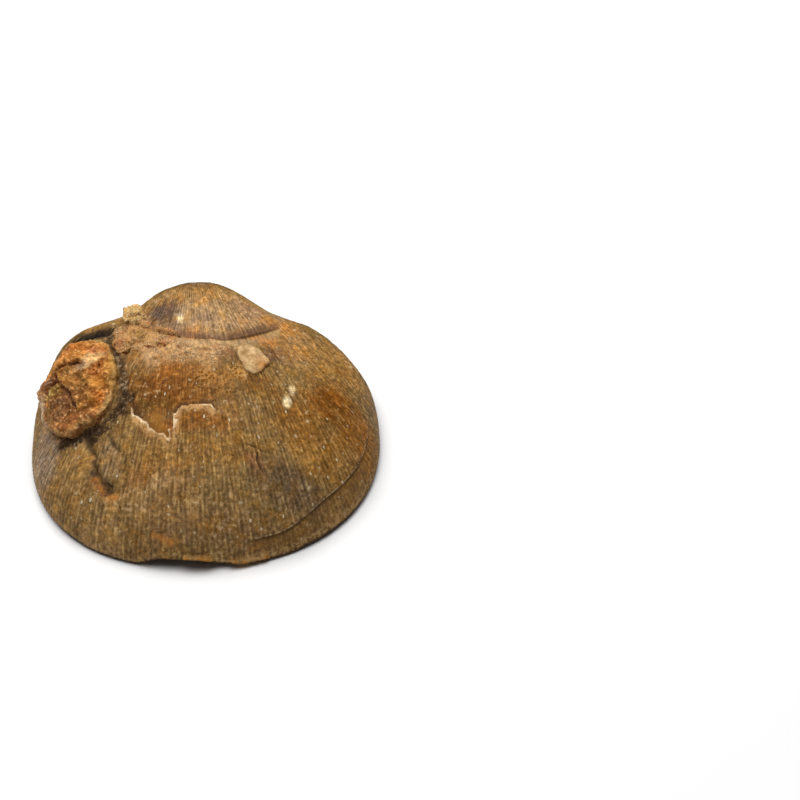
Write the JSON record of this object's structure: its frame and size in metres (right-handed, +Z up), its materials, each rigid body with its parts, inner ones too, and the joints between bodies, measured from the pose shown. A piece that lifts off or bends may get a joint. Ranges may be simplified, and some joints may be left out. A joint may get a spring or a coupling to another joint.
{
  "type": "brachiopod fossil",
  "caption": "Fossil seashell of a brachiopod: a finely ribbed dome with a swollen beak and patches of crust, hollow underneath, lying on its margin.",
  "frame": {"origin": "on the surface the fossil lies on, under the middle of its bounding box", "axes": "+Z up through the dome, +X along the hinge line to the shell's right as seen from the front margin, +Y from the front margin back to the beak"},
  "size_m": [0.06, 0.0508, 0.0248],
  "materials": {
    "petrified_shell": "satin, worn, mottled brown with orange crust"
  },
  "bodies": {
    "root": {"brachiopod_fossil": "petrified_shell"}
  },
  "joints": []
}
